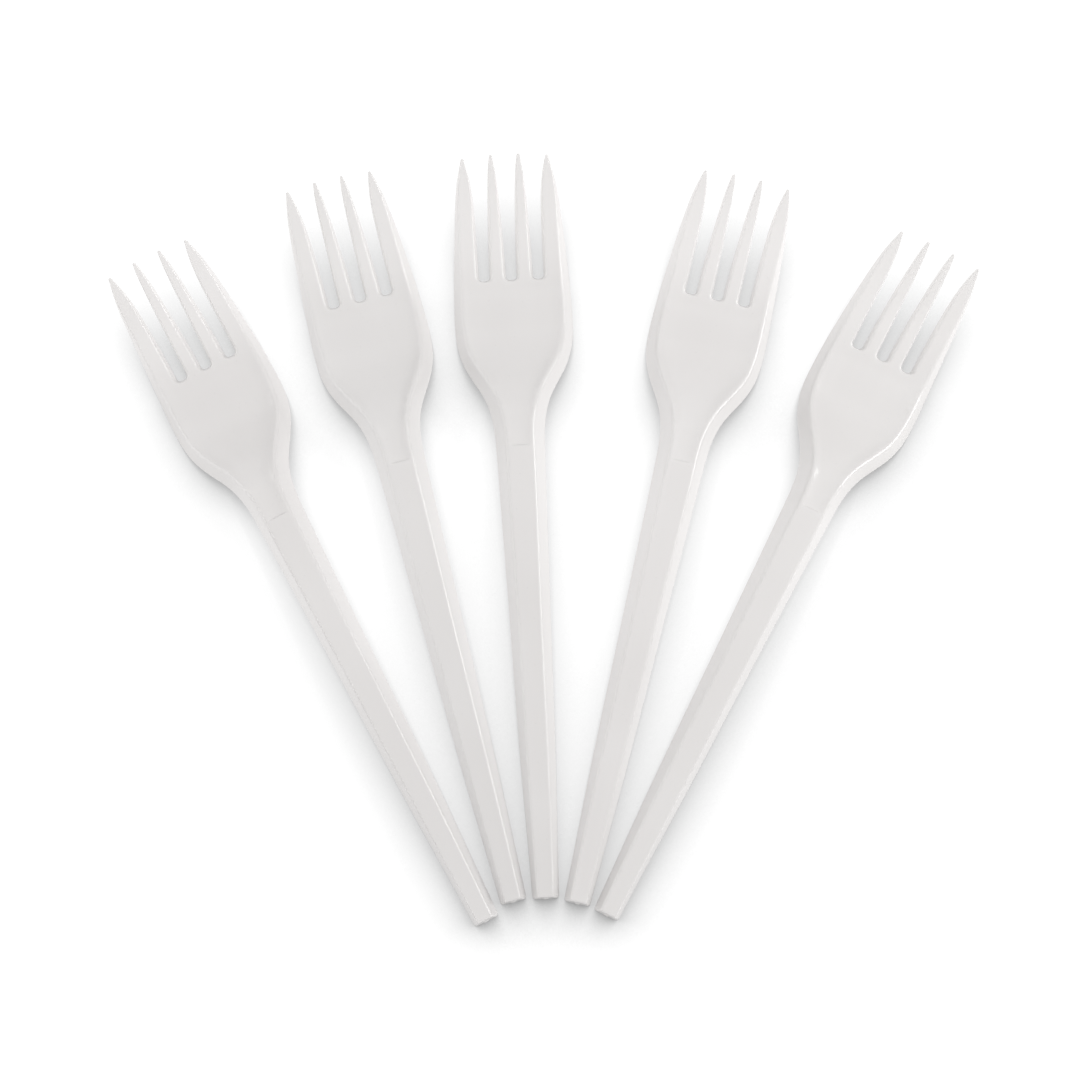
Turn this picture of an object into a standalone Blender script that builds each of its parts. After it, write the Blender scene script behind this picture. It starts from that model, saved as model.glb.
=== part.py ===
"""Pack of five disposable plastic forks, fanned out on a flat surface.

Every fork is one injection moulding: a thin panel with a drafted skirt turned
down along its whole edge, so that the handle is an open channel underneath and
the head is a shallow tray. Four solid tines grow out of the front of the head.
The fork lies the right way up on three small level lands: one around the
handle end and one under each side of the head.

A fork's own frame: X across, Y from the handle end to the tips, Z up, with the
table at Z = 0. Lengths below are in millimetres, and the mesh is in metres.
"""
import math

import bmesh
import bpy
import numpy as np
from mathutils import Matrix, Vector
from mathutils.geometry import delaunay_2d_cdt

MM = 0.001

# ---------------------------------------------------------------- dimensions
LENGTH = 164.8            # handle end to tips, in plan
TIP_Y_OUTER = 164.3       # the outer tines end a little short of the inner two
TIP_RADIUS = 0.42
END_CORNER = 0.75         # plan radius of the corners of the handle end
PANEL = 1.2               # thickness of the top panel

SLOT_PITCH = 6.05         # between the centres of neighbouring slots
SLOT_HALF = 1.18          # half the width of a slot at its root
SLOT_ROOT = 138.5         # where the slots end
SLOT_SQUARE = 3.0         # how square a slot's root is: 2 would be a half circle
TINE_X = 3.025            # centre of an inner tine
TINE_X_OUTER = 9.25       # centre of an outer tine's tip

STEP_Y = 101.0            # the handle's flat panel stops here
STEP_RUN = 0.45           # and drops into the trough over this length

# half width at the foot of the skirt, along the fork
WIDTH = [(0, 3.0), (13, 3.4), (34, 4.05), (67, 4.7), (90, 5.2), (98, 5.38),
         (102.5, 5.5), (105, 5.66), (107, 5.92), (109, 6.36), (111.1, 7.05),
         (113.3, 8.1), (115.5, 9.42), (117.8, 10.75), (120, 11.78),
         (122.2, 12.5), (124.4, 12.94), (126.6, 13.15), (129, 13.22),
         (133.3, 13.12), (137.7, 12.92), (144.2, 12.46), (150.7, 11.93),
         (155, 11.5), (159.2, 10.93), (162.2, 10.2)]
# outer edge of an inner tine from its centre, and inner edge of an outer tine
TINE_HALF = [(139.68, 1.845), (147, 1.7), (155, 1.36), (161, 0.95)]
OUTER_TINE_IN = [(139.68, 7.23), (149, 7.27), (155, 7.42), (159, 7.76), (162, 8.3)]

# height of the foot of the skirt over the table, and height of the skirt
FOOT_Z = [(0, 0), (6, 0), (30, 0.75), (60, 2.05), (90, 3.55), (102, 4.05),
          (108, 3.95), (114, 2.9), (120, 1.35), (125, 0.3), (128, 0), (135, 0),
          (139, 0.45), (145, 1.85), (152, 4.1), (158, 6.5), (165, 9.8)]
SKIRT_H = [(0, 3.2), (30, 3.75), (60, 4.35), (90, 4.85), (102, 5.0), (108, 4.95),
           (114, 4.4), (120, 3.6), (125, 3.0), (130, 2.65), (135, 2.5), (140, 2.4),
           (146, 2.2), (152, 1.85), (158, 1.45), (165, 1.0)]
# thickness of the panel as it grows into the solid tines
THICK = [(0, 1.2), (124, 1.2), (131, 1.5), (138, 2.1), (146, 2.15), (152, 1.85),
         (158, 1.45), (165, 1.0)]
# plan width of the skirt's slope, and the size of the round at its top
SLOPE = [(0, 1.2), (13, 1.3), (34, 1.65), (67, 2.0), (95, 2.2), (106, 2.4),
         (116, 2.55), (124, 2.1), (131, 1.75), (140, 1.5), (150, 1.0), (158, 0.5),
         (165, 0.08)]
ROUND = [(0, 0.42), (13, 0.45), (67, 0.55), (100, 0.6), (116, 0.66), (130, 0.62),
         (140, 0.55), (150, 0.42), (158, 0.3), (165, 0.17)]
WALL = [(0, 1.0), (100, 1.1), (130, 1.15), (140, 0.9), (150, 0.6), (158, 0.35),
        (165, 0.12)]
# the same three along the slots and the inner sides of the tines
SLOT_SLOPE = [(137, 0.35), (150, 0.3), (158, 0.2), (165, 0.08)]
SLOT_ROUND = [(137, 0.4), (150, 0.36), (158, 0.28), (165, 0.17)]
SLOT_WALL = [(137, 0.4), (150, 0.32), (158, 0.22), (165, 0.12)]
END_SLOPE, END_ROUND, END_WALL = 0.95, 0.42, 1.0

# depth of the trough and of the bowl below the rim
DISH = [(STEP_Y, 0.0), (STEP_Y + STEP_RUN, 0.32), (108, 0.42), (116, 0.56),
        (124, 0.62), (132, 0.58), (140, 0.42), (148, 0.22), (156, 0.0)]
DISH_UNDER = [(92, 0.0), (108, 0.42), (116, 0.56), (124, 0.62), (132, 0.58),
              (140, 0.42), (148, 0.22), (156, 0.0)]

# where each fork's handle end stands in the fan, and where the fork points
# (degrees from +Y, turned to the left positive)
FAN = [
    ("fork_far_left", -11.85, -85.2, 26.80),
    ("fork_left", -5.85, -80.9, 14.26),
    ("fork_middle", 1.3, -80.2, 3.18),
    ("fork_right", 8.24, -81.3, -13.03),
    ("fork_far_right", 14.65, -83.9, -26.33),
]
WHITE = (0.80, 0.79, 0.765, 1.0)
ROUGHNESS = 0.34


# ------------------------------------------------------------ smooth curves
def pchip(xs, ys, start=None, end=None):
    """Slopes of a cubic through stations that never overshoots them."""
    n = len(xs)
    h = [xs[i + 1] - xs[i] for i in range(n - 1)]
    d = [(ys[i + 1] - ys[i]) / h[i] for i in range(n - 1)]
    m = [0.0] * n
    for i in range(1, n - 1):
        if d[i - 1] * d[i] > 0:
            a, b = 2 * h[i] + h[i - 1], h[i] + 2 * h[i - 1]
            m[i] = (a + b) / (a / d[i - 1] + b / d[i])
    m[0] = d[0] if start is None else start
    m[-1] = d[-1] if end is None else end
    return m


class Curve:
    """A smooth function of Y through a few stations, softened a little."""

    def __init__(self, stations, soft=0.0, start=None, end=None, pitch=0.05):
        xs, ys = zip(*stations)
        m = pchip(xs, ys, start, end)
        count = max(2, int(math.ceil((xs[-1] - xs[0]) / pitch)) + 1)
        self.x = np.linspace(xs[0], xs[-1], count)
        self.y = np.empty(count)
        k = 0
        for i, x in enumerate(self.x):
            while k < len(xs) - 2 and x > xs[k + 1]:
                k += 1
            h = xs[k + 1] - xs[k]
            u = (x - xs[k]) / h
            self.y[i] = ((2 * u**3 - 3 * u**2 + 1) * ys[k] + (u**3 - 2 * u**2 + u) * h * m[k]
                         + (3 * u**2 - 2 * u**3) * ys[k + 1] + (u**3 - u**2) * h * m[k + 1])
        if soft:
            reach = np.minimum(soft, np.minimum(self.x - xs[0], xs[-1] - self.x))
            total, weight = np.zeros(count), 0.0
            for q in range(-8, 9):
                w = 0.5 + 0.5 * math.cos(math.pi * q / 9.0)
                total += w * np.interp(self.x + reach * q / 8.0, self.x, self.y)
                weight += w
            self.y = total / weight

    def __call__(self, x):
        return float(np.interp(x, self.x, self.y))

    def slope(self, x):
        lo, hi = max(self.x[0], x - 0.05), min(self.x[-1], x + 0.05)
        return (self(hi) - self(lo)) / (hi - lo)


def tip(x, y, a_out, a_in):
    """A tine's round tip: centre, and the angles where its two sides meet it."""
    return x, y - TIP_RADIUS, math.radians(a_out), math.radians(a_in)


tip_in = tip(TINE_X, LENGTH, 12.0, 12.0)
tip_out = tip(TINE_X_OUTER, TIP_Y_OUTER, 19.0, 14.0)


def to_tip(stations, t, angle, sign, base=0.0):
    """Adds the station where a side runs into the tip's circle."""
    x = t[0] + sign * TIP_RADIUS * math.cos(angle) - base
    y = t[1] + TIP_RADIUS * math.sin(angle)
    return stations + [(y, x)], -sign * math.tan(angle)


stations, m = to_tip(WIDTH, tip_out, tip_out[2], 1)
width = Curve(stations, soft=1.6, end=m)
stations, m = to_tip(OUTER_TINE_IN, tip_out, tip_out[3], -1)
tine_out_in = Curve(stations, soft=1.0, start=0.0, end=m)
stations, m = to_tip(TINE_HALF, tip_in, tip_in[2], 1, TINE_X)
tine_half = Curve(stations, soft=1.0, start=0.0, end=m)

foot_z = Curve(FOOT_Z, soft=1.2)
skirt_h = Curve(SKIRT_H, soft=1.5)
thick = Curve(THICK, soft=1.2)
slope_w = Curve(SLOPE, soft=1.5)
round_w = Curve(ROUND, soft=1.5)
wall_w = Curve(WALL, soft=1.5)
slot_slope = Curve(SLOT_SLOPE)
slot_round = Curve(SLOT_ROUND)
slot_wall = Curve(SLOT_WALL)
dish = Curve(DISH, start=0.0, end=0.0)
dish_under = Curve(DISH_UNDER, soft=1.0, start=0.0, end=0.0)


# ------------------------------------------------------- the moulding's edge
# Half of the outline, from the middle of the handle end round to the middle of
# the centre slot's root. A point holds: x, y, the normal into the material,
# and the skirt there as (slope, round, wall, height, kind).
END_STEPS, CORNER_STEPS, TIP_STEPS, ROOT_STEPS = 2, 2, 3, 6
SIDE_Y = [3.0, 6.0, 14, 24, 36, 50, 64, 78, 90, 98, STEP_Y, STEP_Y + STEP_RUN,
          104.5, 107, 109.2, 111.2, 113.2, 115.2, 117.2, 119.2, 121.2, 123.4,
          126, 129, 132.5, 136, 140, 144.5, 149, 153.5, 157.5, 160.8, 163.0]
TINE_Y = [162.6, 159.4, 155, 150, 145, 141.2]


def side_point(y):
    s = width.slope(y)
    n = math.hypot(s, 1.0)
    h = max(skirt_h(y), thick(y))
    return [width(y), y, -1.0 / n, s / n, (slope_w(y), round_w(y), wall_w(y), h)]


def slot_data(y):
    return (slot_slope(y), slot_round(y), slot_wall(y), thick(y))


def tip_points(t, first, last, data_y):
    """Points round a tip, from one side's contact to the other's."""
    out = []
    for i in range(TIP_STEPS + 1):
        a = first + (last - first) * i / TIP_STEPS
        x, y = t[0] + TIP_RADIUS * math.cos(a), t[1] + TIP_RADIUS * math.sin(a)
        out.append([x, y, -math.cos(a), -math.sin(a), slot_data(data_y)])
    return out


def root_points(cx, first, last, steps):
    """Points round the root of a slot."""
    cy = SLOT_ROOT + SLOT_HALF
    out = []
    for i in range(steps + 1):
        a = first + (last - first) * i / steps
        c, s = round(math.cos(a), 9), round(math.sin(a), 9)
        r = SLOT_HALF * (abs(c) ** SLOT_SQUARE + abs(s) ** SLOT_SQUARE) ** (-1.0 / SLOT_SQUARE)
        x, y = cx + r * c, cy + r * s
        nx = math.copysign(abs(c) ** (SLOT_SQUARE - 1.0), c)
        ny = math.copysign(abs(s) ** (SLOT_SQUARE - 1.0), s)
        n = math.hypot(nx, ny)
        out.append([x, y, nx / n, ny / n, slot_data(y)])
    return out


def half_outline():
    """Everything after the handle end's corner, whose loops are made apart."""
    pts = [side_point(y) for y in SIDE_Y]
    pts += tip_points(tip_out, tip_out[2], math.pi - tip_out[3], TIP_Y_OUTER)
    for y in TINE_Y:
        s = tine_out_in.slope(y)
        n = math.hypot(s, 1.0)
        pts.append([tine_out_in(y), y, 1.0 / n, -s / n, slot_data(y)])
    pts += root_points(SLOT_PITCH, 0.0, -math.pi, ROOT_STEPS)
    for y in reversed(TINE_Y):
        s = tine_half.slope(y)
        n = math.hypot(s, 1.0)
        pts.append([TINE_X + tine_half(y), y, -1.0 / n, s / n, slot_data(y)])
    pts += tip_points(tip_in, tip_in[2], math.pi - tip_in[3], LENGTH)
    for y in TINE_Y:
        s = tine_half.slope(y)
        n = math.hypot(s, 1.0)
        pts.append([TINE_X - tine_half(y), y, 1.0 / n, s / n, slot_data(y)])
    pts += root_points(0.0, 0.0, -math.pi / 2, ROOT_STEPS // 2)
    return pts


def corner(p, before, after, reach, steps, out):
    """Rounds one corner of the section with a parabola of the given reach."""
    def toward(q):
        dx, dz = q[0] - p[0], q[1] - p[1]
        n = math.hypot(dx, dz)
        r = min(reach, 0.46 * n)
        return (p[0] + dx / n * r, p[1] + dz / n * r)
    if steps == 0:
        out.append(p)
        return
    a, b = toward(before), toward(after)
    for i in range(steps + 1):
        u = i / steps
        out.append(tuple((1 - u) ** 2 * a[k] + 2 * u * (1 - u) * p[k] + u * u * b[k]
                         for k in (0, 1)))


TOP_STEPS, FOOT_STEPS, INNER_STEPS = 2, 0, 1


def section(data, panel):
    """The skirt's section as (distance in from the foot, height from the rim)
    pairs, from the panel's top edge round under the foot to its underside."""
    slope, rnd, wall, h = data
    gap = 0.3 * wall
    p1, p2, p3 = (slope, 0.0), (0.0, -h), (wall, -h)
    rise = max(0.0, h - panel)
    p4 = (wall + rise * slope / h + gap, -h + rise)
    p0, p5 = (slope + 3.0, 0.0), (p4[0] + 3.0, p4[1])
    out = []
    corner(p1, p0, p2, rnd, TOP_STEPS, out)
    corner(p2, p1, p3, 0.12, FOOT_STEPS, out)
    corner(p3, p2, p4, 0.10, FOOT_STEPS, out)
    corner(p4, p3, p5, 0.5 * rnd, INNER_STEPS, out)
    return out


def rim_loop(pts):
    """Half width of the panel's top edge, along the fork."""
    ys, xs = [], []
    for x, y, nx, ny, data in pts[:len(SIDE_Y)]:
        d = section(data, thick(y))[0][0]
        xs.append(x + nx * d)
        ys.append(y + ny * d)
    return np.array(ys), np.array(xs)


outline = half_outline()
RIM_Y, RIM_X = rim_loop(outline)


def hollow(x, y, depth):
    if depth <= 0:
        return 0.0
    half = float(np.interp(y, RIM_Y, RIM_X))
    power = 2.3 + 2.2 * min(1.0, max(0.0, (y - 108.0) / 14.0))
    u = min(1.0, abs(x) / half)
    return depth * (1.0 - u ** power)


def top_z(x, y):
    y = min(max(y, 0.0), LENGTH)
    h = max(skirt_h(y), thick(y))
    d = dish(y) if STEP_Y < y < DISH[-1][0] else 0.0
    return foot_z(y) + h - hollow(x, y, d)


def under_z(x, y):
    y = min(max(y, 0.0), LENGTH)
    h = max(skirt_h(y), thick(y))
    d = dish_under(y) if DISH_UNDER[0][0] < y < DISH_UNDER[-1][0] else 0.0
    return foot_z(y) + h - hollow(x, y, d) - thick(y)


def loops():
    """The outline's loops from the panel's top edge to its underside. Each is
    a list of (x, y, z), and all of them have the same number of points."""
    end = section((END_SLOPE, END_ROUND, END_WALL, skirt_h(0.0)), thick(0.0))
    side0 = section(side_point(0.0)[4], thick(0.0))
    count = len(end)
    foot = 2 + TOP_STEPS - 1          # first loop that lies at the foot
    result = [[] for _ in range(count)]
    for k in range(count):
        (de, ze), (ds, zs) = end[k], side0[k]
        r = END_CORNER * (1.0 - 0.6 * min(1.0, de / END_SLOPE))
        wx = width(de + r) - ds
        cx, cy = wx - r, de + r
        row = [(cx * i / END_STEPS, de, ze) for i in range(END_STEPS + 1)]
        for i in range(1, CORNER_STEPS + 1):
            a = -math.pi / 2 + math.pi / 2 * i / CORNER_STEPS
            u = i / CORNER_STEPS
            row.append((cx + r * math.cos(a), cy + r * math.sin(a), ze + (zs - ze) * u))
        result[k] = [(x, y, foot_z(0.0) + skirt_h(0.0) + z) for x, y, z in row]
    for x, y, nx, ny, data in outline:
        prof = section(data, thick(y))
        for k, (d, z) in enumerate(prof):
            px, py = x + nx * d, y + ny * d
            if abs(px) < 1e-9:
                px = 0.0
            if k < foot:
                base = top_z(px, py)
            else:
                base = under_z(px, py) + thick(min(max(py, 0.0), LENGTH))
            # the foot of the skirt follows its own line over the table
            if k >= foot and abs(z + data[3]) < 1e-6:
                yy = min(max(py, 0.0), LENGTH)
                h = max(skirt_h(yy), thick(yy))
                z = -h if data[3] > thick(y) + 1e-6 else -thick(yy)
            elif k >= foot and abs(z + thick(y)) < 1e-6:
                z = -thick(min(max(py, 0.0), LENGTH))
            result[k].append((px, py, base + z))
    return result


def fill(loop, height, pitch, rows, first_y, last_y):
    """Triangles that close one loop's half against the centre line."""
    pts = [Vector((x, y)) for x, y, _ in loop]
    n = len(pts)
    z = [p[2] for p in loop]
    edges = [(i, i + 1) for i in range(n - 1)]

    def add(x, y):
        pts.append(Vector((x, y)))
        z.append(height(x, y))
        return len(pts) - 1

    # centre line, from the slot's root back to the handle end
    y_top, y_bottom = pts[n - 1].y, pts[0].y
    mids = sorted([y for y in SIDE_Y if y_bottom + 1.0 < y < y_top - 1.0], reverse=True)
    mids = [y for y in mids if all(abs(y - r) > 0.9 for r in rows)]
    row_y = {}
    for r in rows:
        i = min(range(n), key=lambda q: abs(loop[q][1] - r) + (1e6 if q > len(loop) // 2 else 0))
        row_y[loop[i][1]] = i
    mids = sorted(mids + list(row_y), reverse=True)
    last = n - 1
    for y in mids:
        j = add(0.0, y)
        edges.append((last, j))
        last = j
        if y in row_y:
            end = row_y[y]
            prev = j
            for u in (0.4, 0.75):
                q = add(loop[end][0] * u, y)
                edges.append((prev, q))
                prev = q
            edges.append((prev, end))
    edges.append((last, 0))
    # points inside the head
    poly = [(p.x, p.y) for p in pts[:n]]

    def inside(x, y):
        odd = False
        for i in range(n - 1):
            (x1, y1), (x2, y2) = poly[i], poly[i + 1]
            if (y1 > y) != (y2 > y) and x < (x2 - x1) * (y - y1) / (y2 - y1) + x1:
                odd = not odd
        return odd

    def clear(x, y, far):
        return all((px - x) ** 2 + (py - y) ** 2 > far * far for px, py in poly)

    y, shift = first_y, 0
    while y < last_y:
        x = pitch * (0.5 + 0.5 * (shift % 2))
        while x < 14:
            if inside(x, y) and clear(x, y, 0.5 * pitch):
                add(x, y)
            x += pitch
        y += pitch * 0.9
        shift += 1
    out = delaunay_2d_cdt(pts, edges, [], 1, 1e-6)
    verts, tris, orig = out[0], out[2], out[3]
    assert len(verts) == len(pts), (len(verts), len(pts))
    back = [o[0] for o in orig]
    return [[back[i] for i in t] for t in tris], pts, z


def half_mesh():
    bm = bmesh.new()
    rings = []
    all_loops = loops()
    for loop in all_loops:
        rings.append([bm.verts.new((x * MM, y * MM, z * MM)) for x, y, z in loop])
    n = len(rings[0])
    for a, b in zip(rings, rings[1:]):
        for i in range(n - 1):
            bm.faces.new((a[i], a[i + 1], b[i + 1], b[i]))
    for ring, loop, height, rows in (
            (rings[0], all_loops[0], top_z, (STEP_Y, STEP_Y + STEP_RUN)),
            (rings[-1], all_loops[-1], under_z, ())):
        tris, pts, z = fill(loop, height, 2.6, rows, 113.0, 136.5)
        vs = list(ring)
        for p, h in zip(pts[n:], z[n:]):
            vs.append(bm.verts.new((p.x * MM, p.y * MM, h * MM)))
        for t in tris:
            bm.faces.new([vs[i] for i in t])
    bmesh.ops.recalc_face_normals(bm, faces=bm.faces)
    mesh = bpy.data.meshes.new("fork")
    bm.to_mesh(mesh)
    bm.free()
    # one open half: the underside of the foot has to face down
    for poly in mesh.polygons:
        if abs(poly.center.z) < 1e-5 and poly.normal.z > 0.5:
            mesh.flip_normals()
            break
    mesh.shade_smooth()
    mesh.set_sharp_from_angle(angle=math.radians(34))
    return mesh


def plastic(name):
    mat = bpy.data.materials.new(name)
    mat.use_nodes = True
    bsdf = mat.node_tree.nodes["Principled BSDF"]
    bsdf.inputs["Base Color"].default_value = WHITE
    bsdf.inputs["Roughness"].default_value = ROUGHNESS
    bsdf.inputs["Metallic"].default_value = 0.0
    mat.diffuse_color = WHITE
    return mat


def main():
    for ob in list(bpy.data.objects):
        bpy.data.objects.remove(ob, do_unlink=True)
    mesh = half_mesh()
    mesh.materials.append(plastic("white_plastic"))
    # the fan's centre in plan becomes the origin
    corners = []
    for _, x, y, turn in FAN:
        place = Matrix.Translation((x * MM, y * MM, 0)) @ Matrix.Rotation(math.radians(turn), 4, "Z")
        for v in mesh.vertices:
            corners.append(place @ v.co)
            corners.append(place @ Vector((-v.co.x, v.co.y, v.co.z)))
    cx = 0.5 * (min(c.x for c in corners) + max(c.x for c in corners))
    cy = 0.5 * (min(c.y for c in corners) + max(c.y for c in corners))
    print("fan centre", cx, cy)
    for name, x, y, turn in FAN:
        ob = bpy.data.objects.new(name, mesh)
        bpy.context.scene.collection.objects.link(ob)
        ob.location = (x * MM - cx, y * MM - cy, 0.0)
        ob.rotation_euler = (0.0, 0.0, math.radians(turn))
        mirror = ob.modifiers.new("Mirror", "MIRROR")
        mirror.use_axis[0] = True
        mirror.merge_threshold = 0.00001
        ob.material_slots[0].link = "OBJECT"
        ob.material_slots[0].material = plastic(name + "_plastic")


main()
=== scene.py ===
import math

import bpy
import numpy as np
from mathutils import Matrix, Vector, noise
from mathutils.geometry import delaunay_2d_cdt


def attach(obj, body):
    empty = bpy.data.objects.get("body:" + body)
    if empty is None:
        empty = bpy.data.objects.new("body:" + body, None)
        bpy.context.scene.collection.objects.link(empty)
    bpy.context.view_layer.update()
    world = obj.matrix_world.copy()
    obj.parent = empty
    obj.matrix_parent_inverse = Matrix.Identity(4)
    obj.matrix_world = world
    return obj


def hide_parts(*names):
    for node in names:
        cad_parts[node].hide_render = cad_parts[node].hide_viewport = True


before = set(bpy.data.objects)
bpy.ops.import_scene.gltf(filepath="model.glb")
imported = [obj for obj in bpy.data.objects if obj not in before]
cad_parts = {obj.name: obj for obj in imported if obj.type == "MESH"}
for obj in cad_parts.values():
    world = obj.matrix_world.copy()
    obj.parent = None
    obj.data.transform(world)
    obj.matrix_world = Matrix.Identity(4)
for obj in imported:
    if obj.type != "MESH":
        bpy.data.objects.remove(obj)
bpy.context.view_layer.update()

MM = 0.001

# ---------------------------------------------------------------- dimensions
LENGTH = 164.8
TIP_Y_OUTER = 164.3
TIP_RADIUS = 0.42
END_CORNER = 0.75

SLOT_PITCH = 6.05
SLOT_HALF = 1.18
SLOT_ROOT = 138.5
SLOT_SQUARE = 3.0
TINE_X = 3.025
TINE_X_OUTER = 9.25

STEP_Y = 101.0
STEP_RUN = 0.45

WIDTH = [(0, 3.0), (13, 3.4), (34, 4.05), (67, 4.7), (90, 5.2), (98, 5.38),
         (102.5, 5.5), (105, 5.66), (107, 5.92), (109, 6.36), (111.1, 7.05),
         (113.3, 8.1), (115.5, 9.42), (117.8, 10.75), (120, 11.78),
         (122.2, 12.5), (124.4, 12.94), (126.6, 13.15), (129, 13.22),
         (133.3, 13.12), (137.7, 12.92), (144.2, 12.46), (150.7, 11.93),
         (155, 11.5), (159.2, 10.93), (162.2, 10.2)]
TINE_HALF = [(139.68, 1.845), (147, 1.7), (155, 1.36), (161, 0.95)]
OUTER_TINE_IN = [(139.68, 7.23), (149, 7.27), (155, 7.42), (159, 7.76), (162, 8.3)]

FOOT_Z = [(0, 0), (6, 0), (30, 0.75), (60, 2.05), (90, 3.55), (102, 4.05),
          (108, 3.95), (114, 2.9), (120, 1.35), (125, 0.3), (128, 0), (135, 0),
          (139, 0.45), (145, 1.85), (152, 4.1), (158, 6.5), (165, 9.8)]
SKIRT_H = [(0, 3.2), (30, 3.75), (60, 4.35), (90, 4.85), (102, 5.0), (108, 4.95),
           (114, 4.4), (120, 3.6), (125, 3.0), (130, 2.65), (135, 2.5), (140, 2.4),
           (146, 2.2), (152, 1.85), (158, 1.45), (165, 1.0)]
THICK = [(0, 1.2), (124, 1.2), (131, 1.5), (138, 2.1), (146, 2.15), (152, 1.85),
         (158, 1.45), (165, 1.0)]
SLOPE = [(0, 1.2), (13, 1.3), (34, 1.65), (67, 2.0), (95, 2.2), (106, 2.4),
         (116, 2.55), (124, 2.1), (131, 1.75), (140, 1.5), (150, 1.0), (158, 0.5),
         (165, 0.08)]
ROUND = [(0, 0.42), (13, 0.45), (67, 0.55), (100, 0.6), (116, 0.66), (130, 0.62),
         (140, 0.55), (150, 0.42), (158, 0.3), (165, 0.17)]
WALL = [(0, 1.0), (100, 1.1), (130, 1.15), (140, 0.9), (150, 0.6), (158, 0.35),
        (165, 0.12)]
SLOT_SLOPE = [(137, 0.5), (150, 0.42), (158, 0.26), (165, 0.08)]
SLOT_ROUND = [(137, 0.5), (150, 0.45), (158, 0.32), (165, 0.17)]
SLOT_WALL = [(137, 0.4), (150, 0.32), (158, 0.22), (165, 0.12)]
END_SLOPE, END_ROUND, END_WALL = 0.95, 0.42, 1.0

DISH = [(STEP_Y, 0.0), (STEP_Y + STEP_RUN, 0.32), (108, 0.42), (116, 0.56),
        (124, 0.62), (132, 0.58), (140, 0.42), (148, 0.22), (156, 0.0)]
DISH_UNDER = [(92, 0.0), (108, 0.42), (116, 0.56), (124, 0.62), (132, 0.58),
              (140, 0.42), (148, 0.22), (156, 0.0)]

FAN = [
    ("fork_far_left", -11.85, -85.2, 26.80),
    ("fork_left", -5.85, -80.9, 14.26),
    ("fork_middle", 1.3, -80.2, 3.18),
    ("fork_right", 8.24, -81.3, -13.03),
    ("fork_far_right", 14.65, -83.9, -26.33),
]

# marks that the mould leaves: the flat ends of its ejector pins on the underside
# (y, radius), how deep they are pressed in, and the stub of the gate
PINS = [(46.0, 1.1), (88.0, 1.5), (118.0, 1.9), (132.5, 1.9)]
PIN_DEPTH = 0.09
PIN_EDGE = 0.09
GATE_HALF, GATE_LOW, GATE_HIGH, GATE_OUT = 0.62, 0.55, 1.35, 0.22
WAVE = 0.012              # how far the panel is from flat, as it cools unevenly


# ------------------------------------------------------------ smooth curves
def pchip(xs, ys, start=None, end=None):
    """Slopes of a cubic through stations that never overshoots them."""
    n = len(xs)
    h = [xs[i + 1] - xs[i] for i in range(n - 1)]
    d = [(ys[i + 1] - ys[i]) / h[i] for i in range(n - 1)]
    m = [0.0] * n
    for i in range(1, n - 1):
        if d[i - 1] * d[i] > 0:
            a, b = 2 * h[i] + h[i - 1], h[i] + 2 * h[i - 1]
            m[i] = (a + b) / (a / d[i - 1] + b / d[i])
    m[0] = d[0] if start is None else start
    m[-1] = d[-1] if end is None else end
    return m


class Curve:
    """A smooth function of Y through a few stations, softened a little."""

    def __init__(self, stations, soft=0.0, start=None, end=None, pitch=0.05):
        xs, ys = zip(*stations)
        m = pchip(xs, ys, start, end)
        count = max(2, int(math.ceil((xs[-1] - xs[0]) / pitch)) + 1)
        self.x = np.linspace(xs[0], xs[-1], count)
        self.y = np.empty(count)
        k = 0
        for i, x in enumerate(self.x):
            while k < len(xs) - 2 and x > xs[k + 1]:
                k += 1
            h = xs[k + 1] - xs[k]
            u = (x - xs[k]) / h
            self.y[i] = ((2 * u**3 - 3 * u**2 + 1) * ys[k] + (u**3 - 2 * u**2 + u) * h * m[k]
                         + (3 * u**2 - 2 * u**3) * ys[k + 1] + (u**3 - u**2) * h * m[k + 1])
        if soft:
            reach = np.minimum(soft, np.minimum(self.x - xs[0], xs[-1] - self.x))
            total, weight = np.zeros(count), 0.0
            for q in range(-8, 9):
                w = 0.5 + 0.5 * math.cos(math.pi * q / 9.0)
                total += w * np.interp(self.x + reach * q / 8.0, self.x, self.y)
                weight += w
            self.y = total / weight

    def __call__(self, x):
        return float(np.interp(x, self.x, self.y))

    def slope(self, x):
        lo, hi = max(self.x[0], x - 0.05), min(self.x[-1], x + 0.05)
        return (self(hi) - self(lo)) / (hi - lo)


def tip(x, y, a_out, a_in):
    """A tine's round tip: centre, and the angles where its two sides meet it."""
    return x, y - TIP_RADIUS, math.radians(a_out), math.radians(a_in)


tip_in = tip(TINE_X, LENGTH, 12.0, 12.0)
tip_out = tip(TINE_X_OUTER, TIP_Y_OUTER, 19.0, 14.0)


def to_tip(stations, t, angle, sign, base=0.0):
    """Adds the station where a side runs into the tip's circle."""
    x = t[0] + sign * TIP_RADIUS * math.cos(angle) - base
    y = t[1] + TIP_RADIUS * math.sin(angle)
    return stations + [(y, x)], -sign * math.tan(angle)


stations, m = to_tip(WIDTH, tip_out, tip_out[2], 1)
width = Curve(stations, soft=1.6, end=m)
stations, m = to_tip(OUTER_TINE_IN, tip_out, tip_out[3], -1)
tine_out_in = Curve(stations, soft=1.0, start=0.0, end=m)
stations, m = to_tip(TINE_HALF, tip_in, tip_in[2], 1, TINE_X)
tine_half = Curve(stations, soft=1.0, start=0.0, end=m)

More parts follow.
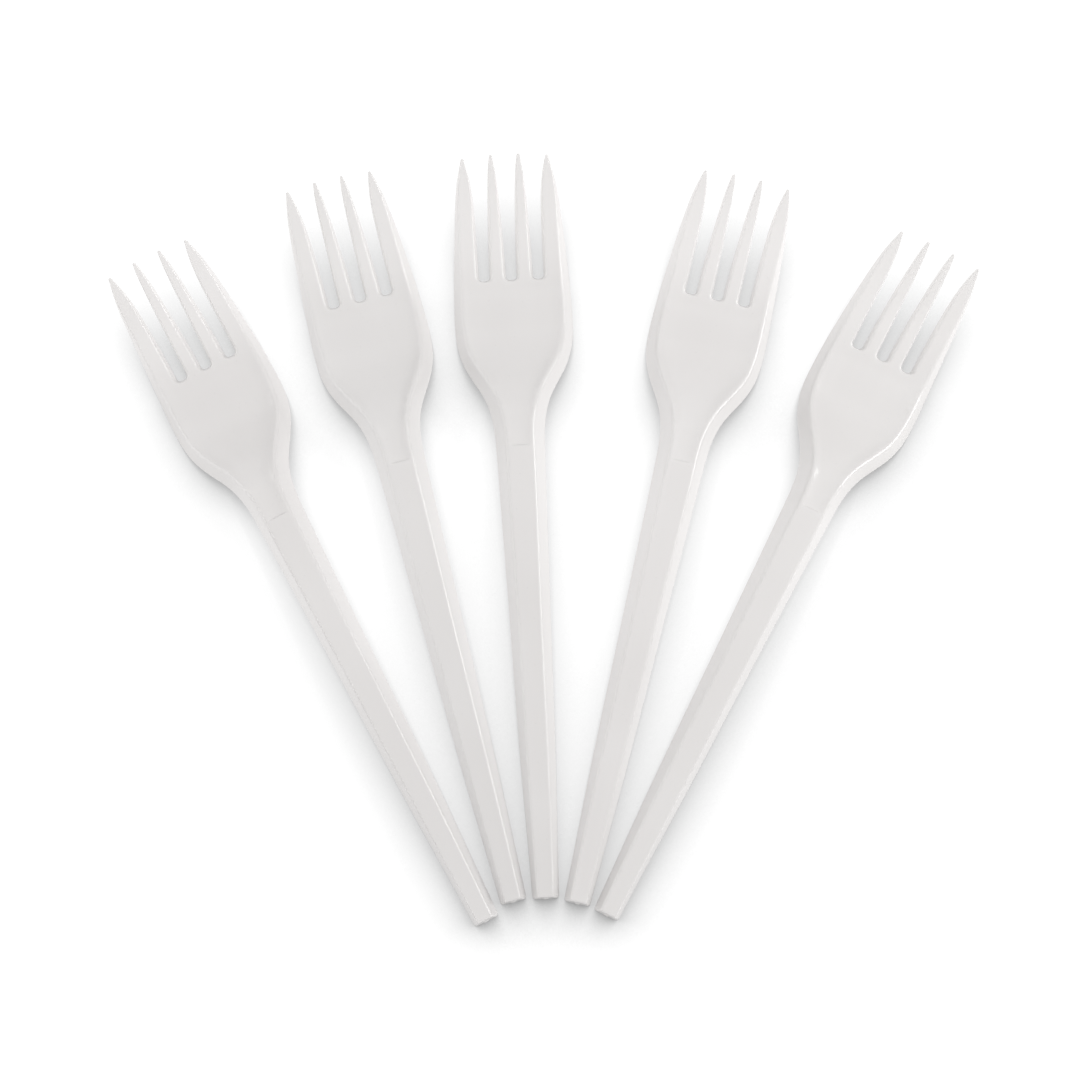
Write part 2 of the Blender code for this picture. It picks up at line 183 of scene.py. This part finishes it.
foot_z = Curve(FOOT_Z, soft=1.2)
skirt_h = Curve(SKIRT_H, soft=1.5)
thick = Curve(THICK, soft=1.2)
slope_w = Curve(SLOPE, soft=1.5)
round_w = Curve(ROUND, soft=1.5)
wall_w = Curve(WALL, soft=1.5)
slot_slope = Curve(SLOT_SLOPE)
slot_round = Curve(SLOT_ROUND)
slot_wall = Curve(SLOT_WALL)
dish = Curve(DISH, start=0.0, end=0.0)
dish_under = Curve(DISH_UNDER, soft=1.0, start=0.0, end=0.0)


# ------------------------------------------------------------ the fork's mesh
END_STEPS, CORNER_STEPS, LEAD_STEPS, TIP_STEPS, ROOT_STEPS = 10, 7, 3, 10, 28
TOP_STEPS, FOOT_STEPS, INNER_STEPS = 7, 3, 4
SIDE_Y = sorted([3.0 + 0.75 * i for i in range(130)] + [100.8, 101.0, 101.12, 101.225, 101.33,
                                                        101.45, 101.6]
                + [102.0 + 0.62 * i for i in range(98)] + [162.6, 163.0, 163.4])
TINE_Y = [162.9, 162.3] + [161.6 - 0.7 * i for i in range(30)] + [140.75, 140.2]
FILL_PITCH = 0.66


def side_point(y):
    s = width.slope(y)
    n = math.hypot(s, 1.0)
    h = max(skirt_h(y), thick(y))
    return [width(y), y, -1.0 / n, s / n, (slope_w(y), round_w(y), wall_w(y), h)]


def slot_data(y):
    return (slot_slope(y), slot_round(y), slot_wall(y), thick(y))


def tip_points(t, first, last, data_y):
    """Points round a tip, from one side's contact to the other's."""
    out = []
    for i in range(TIP_STEPS + 1):
        a = first + (last - first) * i / TIP_STEPS
        x, y = t[0] + TIP_RADIUS * math.cos(a), t[1] + TIP_RADIUS * math.sin(a)
        out.append([x, y, -math.cos(a), -math.sin(a), slot_data(data_y)])
    return out


def root_points(cx, first, last, steps):
    """Points round the root of a slot."""
    cy = SLOT_ROOT + SLOT_HALF
    out = []
    for i in range(steps + 1):
        a = first + (last - first) * i / steps
        c, s = round(math.cos(a), 9), round(math.sin(a), 9)
        r = SLOT_HALF * (abs(c) ** SLOT_SQUARE + abs(s) ** SLOT_SQUARE) ** (-1.0 / SLOT_SQUARE)
        x, y = cx + r * c, cy + r * s
        nx = math.copysign(abs(c) ** (SLOT_SQUARE - 1.0), c)
        ny = math.copysign(abs(s) ** (SLOT_SQUARE - 1.0), s)
        n = math.hypot(nx, ny)
        out.append([x, y, nx / n, ny / n, slot_data(y)])
    return out


def half_outline():
    """The outline from the handle end's corner to the centre slot's root."""
    pts = [side_point(y) for y in SIDE_Y]
    pts += tip_points(tip_out, tip_out[2], math.pi - tip_out[3], TIP_Y_OUTER)
    for y in TINE_Y:
        s = tine_out_in.slope(y)
        n = math.hypot(s, 1.0)
        pts.append([tine_out_in(y), y, 1.0 / n, -s / n, slot_data(y)])
    pts += root_points(SLOT_PITCH, 0.0, -math.pi, ROOT_STEPS)
    for y in reversed(TINE_Y):
        s = tine_half.slope(y)
        n = math.hypot(s, 1.0)
        pts.append([TINE_X + tine_half(y), y, -1.0 / n, s / n, slot_data(y)])
    pts += tip_points(tip_in, tip_in[2], math.pi - tip_in[3], LENGTH)
    for y in TINE_Y:
        s = tine_half.slope(y)
        n = math.hypot(s, 1.0)
        pts.append([TINE_X - tine_half(y), y, 1.0 / n, s / n, slot_data(y)])
    pts += root_points(0.0, 0.0, -math.pi / 2, ROOT_STEPS // 2)
    return pts


def corner(p, before, after, reach, steps):
    """Rounds one corner of the section with a parabola of the given reach."""
    def toward(q):
        dx, dz = q[0] - p[0], q[1] - p[1]
        n = math.hypot(dx, dz)
        r = min(reach, 0.46 * n)
        return (p[0] + dx / n * r, p[1] + dz / n * r)
    a, b = toward(before), toward(after)
    return [tuple((1 - u) ** 2 * a[k] + 2 * u * (1 - u) * p[k] + u * u * b[k] for k in (0, 1))
            for u in (i / steps for i in range(steps + 1))]


def section(data, panel):
    """The skirt's section, from the panel's top edge round under the foot to its
    underside: (distance in from the foot, height, what the height counts from)."""
    slope, rnd, wall, h = data
    gap = 0.3 * wall
    p1, p2, p3 = (slope, 0.0), (0.0, -h), (wall, -h)
    rise = max(0.0, h - panel)
    p4 = (wall + rise * slope / h + gap, -h + rise)
    p0, p5 = (slope + 3.0, 0.0), (p4[0] + 3.0, p4[1])
    out = [(d, z, "top") for d, z in corner(p1, p0, p2, rnd, TOP_STEPS)]
    out += [(d, z + h, "foot") for d, z in corner(p2, p1, p3, 0.12, FOOT_STEPS)]
    out += [(d, z + h, "foot") for d, z in corner(p3, p2, p4, 0.10, FOOT_STEPS)]
    out += [(d, z + h - rise, "under") for d, z in corner(p4, p3, p5, 0.5 * rnd, INNER_STEPS)]
    return out


outline = half_outline()
RIM_Y, RIM_X = [], []
for px, py, nx, ny, data in outline[:len(SIDE_Y)]:
    reach = section(data, thick(py))[0][0]
    RIM_Y.append(py + ny * reach)
    RIM_X.append(px + nx * reach)


def hollow(x, y, depth):
    if depth <= 0:
        return 0.0
    half = float(np.interp(y, RIM_Y, RIM_X))
    power = 2.3 + 2.2 * min(1.0, max(0.0, (y - 108.0) / 14.0))
    u = min(1.0, abs(x) / half)
    return depth * (1.0 - u ** power)


def top_z(x, y):
    y = min(max(y, 0.0), LENGTH)
    h = max(skirt_h(y), thick(y))
    d = dish(y) if STEP_Y < y < DISH[-1][0] else 0.0
    return foot_z(y) + h - hollow(x, y, d)


def under_z(x, y):
    y = min(max(y, 0.0), LENGTH)
    h = max(skirt_h(y), thick(y))
    d = dish_under(y) if DISH_UNDER[0][0] < y < DISH_UNDER[-1][0] else 0.0
    return foot_z(y) + h - hollow(x, y, d) - thick(y)


def skin_z(x, y):
    """The panel's top, which cooling leaves a little uneven."""
    edge = max(0.0, min(1.0, (float(np.interp(y, RIM_Y, RIM_X)) - abs(x)) / 1.6))
    wave = noise.noise(Vector((x * 0.13, y * 0.055, 3.7))) * edge if y < SLOT_ROOT - 2.0 else 0.0
    return top_z(x, y) + WAVE * wave


def pin_z(x, y):
    """The panel's underside, with the ejector pins' ends pressed in."""
    z = under_z(x, y)
    for py, radius in PINS:
        r = math.hypot(x, y - py)
        z += PIN_DEPTH * max(0.0, min(1.0, (radius - r) / PIN_EDGE + 0.5))
    return z


def loops():
    """The outline's loops from the panel's top edge to its underside."""
    end = section((END_SLOPE, END_ROUND, END_WALL, skirt_h(0.0)), thick(0.0))
    side0 = section(side_point(0.0)[4], thick(0.0))
    base = {"top": foot_z(0.0) + skirt_h(0.0), "foot": foot_z(0.0),
            "under": foot_z(0.0) + skirt_h(0.0) - thick(0.0)}
    result = [[] for _ in end]
    for k, ((de, ze, kind), (ds, zs, _)) in enumerate(zip(end, side0)):
        r = END_CORNER * (1.0 - 0.6 * min(1.0, de / END_SLOPE))
        wx = width(de + r) - ds
        cx, cy = wx - r, de + r
        row = [(cx * i / END_STEPS, de, ze) for i in range(END_STEPS + 1)]
        for i in range(1, CORNER_STEPS + 1):
            a = -math.pi / 2 + math.pi / 2 * i / CORNER_STEPS
            row.append((cx + r * math.cos(a), cy + r * math.sin(a), ze + (zs - ze) * i / CORNER_STEPS))
        result[k] = [(x, y, base[kind] + z) for x, y, z in row]
    for x, y, nx, ny, data in outline:
        for k, (d, z, kind) in enumerate(section(data, thick(y))):
            px, py = x + nx * d, y + ny * d
            if abs(px) < 1e-9:
                px = 0.0
            yy = min(max(py, 0.0), LENGTH)
            if kind == "top":
                z += top_z(px, py)
            elif kind == "under":
                z += under_z(px, py)
            else:
                deep = max(skirt_h(yy), thick(yy)) if data[3] > thick(y) + 1e-6 else thick(yy)
                z += under_z(px, py) + thick(yy) - deep
            result[k].append((px, py, z))
    result = [np.array(r) for r in result]
    # the stretch between the handle end's corner and the first station
    lead = END_STEPS + CORNER_STEPS
    for k, r in enumerate(result):
        extra = [r[lead] + (r[lead + 1] - r[lead]) * i / (LEAD_STEPS + 1) for i in range(1, LEAD_STEPS + 1)]
        result[k] = np.vstack([r[:lead + 1], extra, r[lead + 1:]])
    # the flat faces of the skirt, cut up between their rounded edges
    c1, c2, c3 = TOP_STEPS, TOP_STEPS + 1 + FOOT_STEPS, TOP_STEPS + 2 + 2 * FOOT_STEPS
    out = []
    for k, r in enumerate(result):
        out.append(r)
        cuts = (0.06, 0.2, 0.4, 0.6, 0.8, 0.94) if k in (c1, c3) else (0.2, 0.8) if k == c2 else ()
        out += [r + (result[k + 1] - r) * u for u in cuts]
    return out


def gate(points):
    """The stub where the gate was cut from the handle end stands out a little."""
    for p in points:
        if p[1] < 0.9:
            across = max(0.0, min(1.0, (GATE_HALF - abs(p[0])) / 0.12 + 0.5))
            up = max(0.0, min(1.0, (p[2] - GATE_LOW) / 0.12 + 0.5, (GATE_HIGH - p[2]) / 0.12 + 0.5))
            p[1] -= GATE_OUT * across * up * (0.9 + 0.1 * math.sin(9.0 * p[0]))


def fill(loop, height, circles, rows):
    """Triangles that close one loop's half against the centre line."""
    n = len(loop)
    pts = [Vector((x, y)) for x, y, _ in loop]
    z = [p[2] for p in loop]
    edges = [(i, i + 1) for i in range(n - 1)]
    poly = loop[:, :2]

    def add(x, y):
        pts.append(Vector((x, y)))
        z.append(height(x, y))
        return len(pts) - 1

    y_top, y_bottom = pts[n - 1].y, pts[0].y
    taken = [cy + s * (r + o) for cy, r in circles for s in (-1, 1)
             for o in (-0.5 * PIN_EDGE, 0.5 * PIN_EDGE)] + list(rows)
    mids = [y_bottom + FILL_PITCH * (i + 1) for i in range(int((y_top - y_bottom) / FILL_PITCH) - 1)]
    mids = [y for y in mids if all(abs(y - t) > 0.25 for t in taken)] + taken
    last = n - 1
    for y in sorted((y for y in mids if y_bottom < y < y_top), reverse=True):
        j = add(0.0, y)
        edges.append((last, j))
        last = j
    edges.append((last, 0))

    xs, ys = [], []
    y, shift = y_bottom + 0.5 * FILL_PITCH, 0
    while y < LENGTH:
        x = FILL_PITCH * (0.55 + 0.5 * (shift % 2))
        while x < 14:
            xs.append(x)
            ys.append(y)
            x += FILL_PITCH
        y += FILL_PITCH * 0.87
        shift += 1
    for cy, r in circles:
        for o in (-0.5 * PIN_EDGE, 0.5 * PIN_EDGE):
            for i in range(1, 40):
                a = -math.pi / 2 + math.pi * i / 40
                xs.append((r + o) * math.cos(a))
                ys.append(cy + (r + o) * math.sin(a))
    for ry in rows:
        x = 0.35
        while x < 6:
            xs.append(x)
            ys.append(ry)
            x += 0.45
    grid = np.array([xs, ys]).T
    soft = np.ones(len(grid), bool)
    soft[len(grid) - 78 * len(circles) - 13 * len(rows):] = False
    a, b = poly[:-1], poly[1:]
    px, py = grid[:, :1], grid[:, 1:]
    crossing = (a[:, 1] > py) != (b[:, 1] > py)
    rise = np.where(np.abs(b[:, 1] - a[:, 1]) < 1e-12, 1e-12, b[:, 1] - a[:, 1])
    inside = (crossing & (px < (b[:, 0] - a[:, 0]) * (py - a[:, 1]) / rise + a[:, 0])).sum(1) % 2 == 1
    far = np.hypot(px - poly[:, 0], py - poly[:, 1]).min(1)
    keep = inside & (far > np.where(soft, 0.45 * FILL_PITCH, 0.12))
    for cy, r in circles:
        gap = np.abs(np.hypot(grid[:, 0], grid[:, 1] - cy) - r)
        keep &= ~(soft & (gap < 0.3))
    for ry in rows:
        keep &= ~(soft & (np.abs(grid[:, 1] - ry) < 0.2))
    for x, y in grid[keep]:
        add(float(x), float(y))
    out = delaunay_2d_cdt(pts, edges, [], 1, 1e-6)
    assert len(out[0]) == len(pts), (len(out[0]), len(pts))
    back = [o[0] for o in out[3]]
    extra = [(pts[i].x, pts[i].y, z[i]) for i in range(n, len(pts))]
    return [[back[i] for i in t] for t in out[2]], extra


def fork_mesh():
    """Vertices and faces of one whole fork, in millimetres."""
    rings = loops()
    for ring in rings:
        gate(ring)
    n = len(rings[0])
    verts = [p for ring in rings for p in ring]
    faces = []
    for k in range(len(rings) - 1):
        a, b = k * n, (k + 1) * n
        faces += [(b + i, b + i + 1, a + i + 1, a + i) for i in range(n - 1)]
    step_rows = (STEP_Y, STEP_Y + 0.25 * STEP_RUN, STEP_Y + 0.5 * STEP_RUN,
                 STEP_Y + 0.75 * STEP_RUN, STEP_Y + STEP_RUN)
    for ring, first, height, circles, rows, flip in (
            (rings[0], 0, skin_z, (), step_rows, False),
            (rings[-1], (len(rings) - 1) * n, pin_z, PINS, (), True)):
        tris, extra = fill(ring, height, circles, rows)
        base = len(verts)
        index = [first + i if i < n else base + i - n for i in range(n + len(extra))]
        verts += extra
        for t in tris:
            t = [index[i] for i in t]
            faces.append(tuple(reversed(t)) if flip else tuple(t))
    verts = np.array(verts)
    # the other half, joined along the centre line
    count = len(verts)
    centre = np.abs(verts[:, 0]) < 1e-7
    verts[centre, 0] = 0.0
    other = np.arange(count)
    other[~centre] = count + np.arange((~centre).sum())
    flipped = verts[~centre] * (-1, 1, 1)
    faces += [tuple(int(other[i]) for i in reversed(f)) for f in faces]
    return np.vstack([verts, flipped]), faces


# -------------------------------------------------------------- the material
def link(tree, a, b):
    tree.links.new(a, b)


def moulded_plastic(name, tint, place, turn, seed):
    """Glossy off-white polystyrene: clouds and specks in its pigment, flow lines
    along the fork, a polish that isn't quite even and a fine skin. Painted shade
    darkens the handle towards its end and a little at the neck, and painted light
    makes the tines paler towards their tips. The place and the turn are the
    fork's own in the fan."""
    mat = bpy.data.materials.new(name)
    mat.use_nodes = True
    tree = mat.node_tree
    bsdf = tree.nodes["Principled BSDF"]
    bsdf.inputs["Metallic"].default_value = 0.0
    bsdf.inputs["IOR"].default_value = 1.59

    def noise_of(vector, scale, detail):
        node = tree.nodes.new("ShaderNodeTexNoise")
        node.noise_dimensions = "4D"
        node.inputs["W"].default_value = seed
        node.inputs["Scale"].default_value = scale
        node.inputs["Detail"].default_value = detail
        link(tree, vector, node.inputs["Vector"])
        return node.outputs["Fac"]

    def remap(value, low, high, to_low, to_high, kind="LINEAR"):
        node = tree.nodes.new("ShaderNodeMapRange")
        node.interpolation_type = kind
        node.inputs["From Min"].default_value = low
        node.inputs["From Max"].default_value = high
        node.inputs["To Min"].default_value = to_low
        node.inputs["To Max"].default_value = to_high
        link(tree, value, node.inputs["Value"])
        return node.outputs["Result"]

    def product(a, b):
        node = tree.nodes.new("ShaderNodeMath")
        node.operation = "MULTIPLY"
        link(tree, a, node.inputs[0])
        link(tree, b, node.inputs[1])
        return node.outputs["Value"]

    where = tree.nodes.new("ShaderNodeTexCoord").outputs["Object"]
    own = tree.nodes.new("ShaderNodeMapping")
    own.vector_type = "TEXTURE"
    own.inputs["Location"].default_value = (place[0] * MM, place[1] * MM, 0.0)
    own.inputs["Rotation"].default_value = (0.0, 0.0, math.radians(turn))
    link(tree, where, own.inputs["Vector"])
    drawn = tree.nodes.new("ShaderNodeMapping")
    drawn.inputs["Scale"].default_value = (1.0, 0.07, 1.0)
    link(tree, own.outputs["Vector"], drawn.inputs["Vector"])
    split = tree.nodes.new("ShaderNodeSeparateXYZ")
    link(tree, own.outputs["Vector"], split.inputs["Vector"])
    along = split.outputs["Y"]

    # pigment: soft clouds some centimetres wide, and tiny specks
    ramp = tree.nodes.new("ShaderNodeValToRGB")
    lo, hi = ramp.color_ramp.elements
    lo.position, hi.position = 0.3, 0.7
    lo.color = (tint[0] * 0.982, tint[1] * 0.979, tint[2] * 0.977, 1)
    hi.color = (tint[0] * 1.014, tint[1] * 1.014, tint[2] * 1.014, 1)
    link(tree, noise_of(where, 42.0, 1.0), ramp.inputs["Fac"])
    speck = tree.nodes.new("ShaderNodeTexVoronoi")
    speck.inputs["Scale"].default_value = 520.0
    link(tree, where, speck.inputs["Vector"])
    flow = noise_of(drawn.outputs["Vector"], 620.0, 1.0)
    # painted shade and light along the fork: the handle darker towards its end and a little darker at the
    # neck, the tines paler towards their tips
    painted_light_and_shade = product(product(remap(along, 0.0, 0.095, 0.955, 1.017, "SMOOTHSTEP"),
                           remap(along, 0.098, 0.112, 1.0, 0.98, "SMOOTHSTEP")),
                   remap(along, 0.130, 0.150, 1.0, 1.085, "SMOOTHSTEP"))
    shade = tree.nodes.new("ShaderNodeVectorMath")
    shade.operation = "SCALE"
    link(tree, ramp.outputs["Color"], shade.inputs[0])
    link(tree, product(product(remap(speck.outputs["Distance"], 0.03, 0.11, 0.95, 1.0),
                               remap(flow, 0.3, 0.7, 0.997, 1.003)), painted_light_and_shade), shade.inputs["Scale"])
    link(tree, shade.outputs["Vector"], bsdf.inputs["Base Color"])

    # polish: softly uneven, and duller along the flow lines
    link(tree, product(remap(noise_of(where, 90.0, 1.0), 0.3, 0.7, 0.17, 0.23),
                       remap(flow, 0.3, 0.7, 0.97, 1.03)), bsdf.inputs["Roughness"])

    grain = tree.nodes.new("ShaderNodeBump")
    grain.inputs["Strength"].default_value = 0.06
    grain.inputs["Distance"].default_value = 0.00003
    link(tree, noise_of(where, 1900.0, 1.0), grain.inputs["Height"])
    link(tree, grain.outputs["Normal"], bsdf.inputs["Normal"])
    return mat


def light_table(white, grey, depth, reach, shadow_lean):
    """A plain white table that shines as a light table does, and fades to the room's
    pale grey outside the camera's frame. Its shine is darkened by ambient occlusion
    round the forks, leaned to their near side: a painted shadow that gives them a soft dark outline."""
    mat = bpy.data.materials.new("table_white")
    mat.use_nodes = True
    tree = mat.node_tree
    tree.nodes.remove(tree.nodes["Principled BSDF"])
    up = tree.nodes.new("ShaderNodeCombineXYZ")
    up.inputs["Y"].default_value = math.sin(math.radians(shadow_lean))
    up.inputs["Z"].default_value = math.cos(math.radians(shadow_lean))
    # painted shadow: ambient occlusion, leaned towards +Y, darkens the table's shine next to the forks
    near = tree.nodes.new("ShaderNodeAmbientOcclusion")
    near.samples = 12
    near.inputs["Distance"].default_value = reach
    link(tree, up.outputs["Vector"], near.inputs["Normal"])
    painted_shadow_shine = tree.nodes.new("ShaderNodeMapRange")
    painted_shadow_shine.inputs["From Min"].default_value = 0.3
    painted_shadow_shine.inputs["To Min"].default_value = white * (1.0 - 0.7 * depth)
    painted_shadow_shine.inputs["To Max"].default_value = white
    link(tree, near.outputs["AO"], painted_shadow_shine.inputs["Value"])
    away = tree.nodes.new("ShaderNodeVectorMath")
    away.operation = "LENGTH"
    link(tree, tree.nodes.new("ShaderNodeTexCoord").outputs["Object"], away.inputs[0])
    fade = tree.nodes.new("ShaderNodeMapRange")
    fade.interpolation_type = "SMOOTHSTEP"
    fade.inputs["From Min"].default_value = 0.172
    fade.inputs["From Max"].default_value = 0.42
    fade.inputs["To Min"].default_value = 1.0
    fade.inputs["To Max"].default_value = grey / white
    link(tree, away.outputs["Value"], fade.inputs["Value"])
    light = tree.nodes.new("ShaderNodeMath")
    light.operation = "MULTIPLY"
    link(tree, painted_shadow_shine.outputs["Result"], light.inputs[0])
    link(tree, fade.outputs["Result"], light.inputs[1])
    shine = tree.nodes.new("ShaderNodeEmission")
    shine.inputs["Color"].default_value = (1, 1, 1, 1)
    link(tree, light.outputs["Value"], shine.inputs["Strength"])
    link(tree, shine.outputs["Emission"], tree.nodes["Material Output"].inputs["Surface"])
    return mat


# ------------------------------------------------------------------ the build
PLASTIC = {
    "fork_far_left": (0.735, 0.717, 0.709),
    "fork_left": (0.724, 0.708, 0.700),
    "fork_middle": (0.727, 0.710, 0.702),
    "fork_right": (0.747, 0.729, 0.721),
    "fork_far_right": (0.746, 0.729, 0.720),
}

# the middle of the pack's box in plan, which is the origin of the frame
CENTRE = (0.816, -0.893)
verts, faces = fork_mesh()
for number, (node, x, y, turn) in enumerate(FAN):
    a = math.radians(turn)
    place = (x - CENTRE[0], y - CENTRE[1])
    placed = np.empty_like(verts)
    placed[:, 0] = verts[:, 0] * math.cos(a) - verts[:, 1] * math.sin(a) + place[0]
    placed[:, 1] = verts[:, 0] * math.sin(a) + verts[:, 1] * math.cos(a) + place[1]
    placed[:, 2] = verts[:, 2]
    mesh = bpy.data.meshes.new(node + "_moulding")
    mesh.from_pydata((placed * MM).tolist(), [], faces)
    mesh.validate()
    mesh.shade_smooth()
    mesh.set_sharp_from_angle(angle=math.radians(50))
    mesh.materials.append(moulded_plastic(node + "_plastic", PLASTIC[node], place, turn, 1.7 * number))
    piece = bpy.data.objects.new(node + "_moulding", mesh)
    bpy.context.scene.collection.objects.link(piece)
    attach(piece, "root")
    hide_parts(node)

# --------------------------------------------------------- floor, light, camera
WORLD = 0.5
floor_mesh = bpy.data.meshes.new("floor")
floor_mesh.from_pydata([(-6, -6, -0.00004), (6, -6, -0.00004), (6, 6, -0.00004), (-6, 6, -0.00004)],
                       [], [(0, 1, 2, 3)])
# the table shines evenly, with a painted shadow darkening it round the forks
floor_mesh.materials.append(light_table(1.107, WORLD, 1.2, 0.014, 70.0))
floor = bpy.data.objects.new("floor", floor_mesh)
bpy.context.scene.collection.objects.link(floor)


def soft_box(name, azimuth, elevation, power, size, distance=1.0):
    """A square soft light. Azimuth is counted from +Y, clockwise seen from above."""
    light = bpy.data.lights.new(name, "AREA")
    light.shape = "SQUARE"
    light.size = size
    light.energy = power
    ob = bpy.data.objects.new(name, light)
    a, e = math.radians(azimuth), math.radians(elevation)
    ob.location = Vector((math.sin(a) * math.cos(e), math.cos(a) * math.cos(e), math.sin(e))) * distance
    ob.rotation_mode = "QUATERNION"
    ob.rotation_quaternion = ob.location.to_track_quat("Z", "Y")
    bpy.context.scene.collection.objects.link(ob)
    return ob


LIGHTS = [
    ("side_right", 90, 34, 4.8, 0.5),
    ("side_left", 270, 24, 3.37, 0.85),
    ("near", 180, 45, 1.44, 1.1),
    ("far", 0, 42, 0.89, 1.1),
    ("far_high", 0, 62, 0.98, 1.1),
]
for name, azimuth, elevation, power, size in LIGHTS:
    soft_box(name, azimuth, elevation, power, size)

world = bpy.data.worlds.new("studio")
bpy.context.scene.world = world
world.use_nodes = True
world.node_tree.nodes["Background"].inputs["Color"].default_value = (1, 1, 1, 1)
world.node_tree.nodes["Background"].inputs["Strength"].default_value = WORLD

CAMERA_HEIGHT = 0.460
PIXEL = 0.2235            # millimetres of table in one of the frame's 1080 pixels
camera = bpy.data.cameras.new("camera")
camera.sensor_width = 36.0
camera.lens = 36.0 * CAMERA_HEIGHT * 1000 / (1080 * PIXEL)
camera.clip_start, camera.clip_end = 0.01, 50.0
camera_object = bpy.data.objects.new("camera", camera)
camera_object.location = (-CENTRE[0] * MM, -CENTRE[1] * MM, CAMERA_HEIGHT)
bpy.context.scene.collection.objects.link(camera_object)
bpy.context.scene.camera = camera_object

bpy.context.scene.view_settings.view_transform = "Standard"
bpy.context.scene.view_settings.look = "None"
bpy.context.scene.view_settings.exposure = 0.0
bpy.context.scene.view_settings.gamma = 1.0
